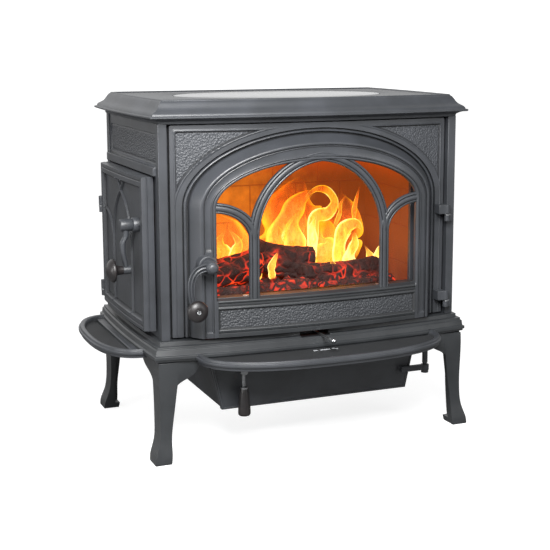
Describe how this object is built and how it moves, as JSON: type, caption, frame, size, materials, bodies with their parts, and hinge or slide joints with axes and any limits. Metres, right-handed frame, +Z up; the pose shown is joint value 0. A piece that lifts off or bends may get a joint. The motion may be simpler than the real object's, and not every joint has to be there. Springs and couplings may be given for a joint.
{
  "type": "wood burning stove",
  "caption": "Free-standing cast-iron wood stove with an arched, bowed glass door, a side loading door, ash lips, an ash door and curved legs.",
  "frame": {"origin": "on the floor, under the middle of the whole object's bounding box", "axes": "+Z up, -Y out of the front door, +X to the right as seen from the front"},
  "size_m": [0.8007, 0.6185, 0.73],
  "materials": {
    "painted_cast_iron": "matt stove paint",
    "bare_cast_iron": "heat-darkened casting",
    "steel": "plain steel",
    "sheet_steel": "satin black",
    "dark_knob": "dark brown moulded knob",
    "chrome": "polished",
    "gasket_rope": "glass-fibre rope",
    "ceramic_glass": "clear"
  },
  "bodies": {
    "stove_body": {"top_plate": "painted_cast_iron", "oval_cover": "painted_cast_iron", "base_plate": "painted_cast_iron", "corner_post_front_left": "painted_cast_iron", "corner_post_front_right": "painted_cast_iron", "corner_post_rear_left": "painted_cast_iron", "corner_post_rear_right": "painted_cast_iron", "leg_front_left": "painted_cast_iron", "leg_front_right": "painted_cast_iron", "leg_rear_left": "painted_cast_iron", "leg_rear_right": "painted_cast_iron", "side_panel_left": "painted_cast_iron", "side_panel_right": "painted_cast_iron", "rear_plate": "painted_cast_iron", "front_frame": "bare_cast_iron", "firebox_floor": "bare_cast_iron", "grate": "bare_cast_iron", "burn_plate_left": "bare_cast_iron", "burn_plate_right": "bare_cast_iron", "burn_plate_rear": "bare_cast_iron", "baffle": "bare_cast_iron", "air_manifold": "bare_cast_iron", "flue_collar": "painted_cast_iron", "flue_bolts": "steel", "heat_shield": "sheet_steel", "tie_rods": "steel", "front_knuckles": "painted_cast_iron", "side_knuckles": "painted_cast_iron", "front_ash_lip": "painted_cast_iron", "side_ash_lip": "painted_cast_iron", "ash_housing": "painted_cast_iron", "ash_pan": "bare_cast_iron", "ash_hinge_pin": "steel", "leg_bolts": "steel"},
    "front_door": {"front_door_casting": "painted_cast_iron", "front_glass": "ceramic_glass", "front_gasket": "gasket_rope", "glass_clips": "steel", "front_hinge_lugs": "painted_cast_iron", "front_escutcheon": "painted_cast_iron"},
    "front_handle": {"front_handle_arm": "painted_cast_iron", "front_knob": "dark_knob", "front_knob_screw": "chrome", "front_latch_cam": "steel"},
    "side_door": {"side_door_casting": "painted_cast_iron", "side_door_liner": "bare_cast_iron", "side_gasket": "gasket_rope", "side_hinge_lugs": "painted_cast_iron", "side_escutcheon": "painted_cast_iron"},
    "side_handle": {"side_handle_crank": "painted_cast_iron", "side_knob": "dark_knob", "side_latch_cam": "steel"},
    "ash_door": {"ash_door": "painted_cast_iron"},
    "ash_handle": {"ash_handle_shaft": "steel", "ash_grip": "dark_knob", "ash_latch_cam": "steel"},
    "air_control": {"air_slide": "steel", "air_lever": "steel", "air_lever_ball": "chrome"}
  },
  "joints": [
    {"name": "front_door_hinge", "type": "hinge", "parent": "stove_body", "child": "front_door", "pos_m": [0.34567, -0.1611, 0.4], "axis": [0, 0, 1], "range_deg": [0, 115]},
    {"name": "front_handle_turn", "type": "hinge", "parent": "front_door", "child": "front_handle", "pos_m": [-0.20933, -0.1951, 0.404], "axis": [0, 1, 0], "range_deg": [0, 80]},
    {"name": "side_door_hinge", "type": "hinge", "parent": "stove_body", "child": "side_door", "pos_m": [-0.31833, 0.2289, 0.4], "axis": [0, 0, -1], "range_deg": [0, 110]},
    {"name": "side_handle_turn", "type": "hinge", "parent": "side_door", "child": "side_handle", "pos_m": [-0.32233, -0.0621, 0.476], "axis": [1, 0, 0], "range_deg": [0, 85]},
    {"name": "ash_door_hinge", "type": "hinge", "parent": "stove_body", "child": "ash_door", "pos_m": [0.29167, -0.1711, 0.14], "axis": [0, 0, 1], "range_deg": [0, 100]},
    {"name": "ash_handle_turn", "type": "hinge", "parent": "ash_door", "child": "ash_handle", "pos_m": [-0.13233, -0.1601, 0.178], "axis": [0, -1, 0], "range_deg": [0, 90]},
    {"name": "air_control_slide", "type": "slide", "parent": "stove_body", "child": "air_control", "axis": [1, 0, 0], "range_m": [-0.04, 0.015]}
  ]
}
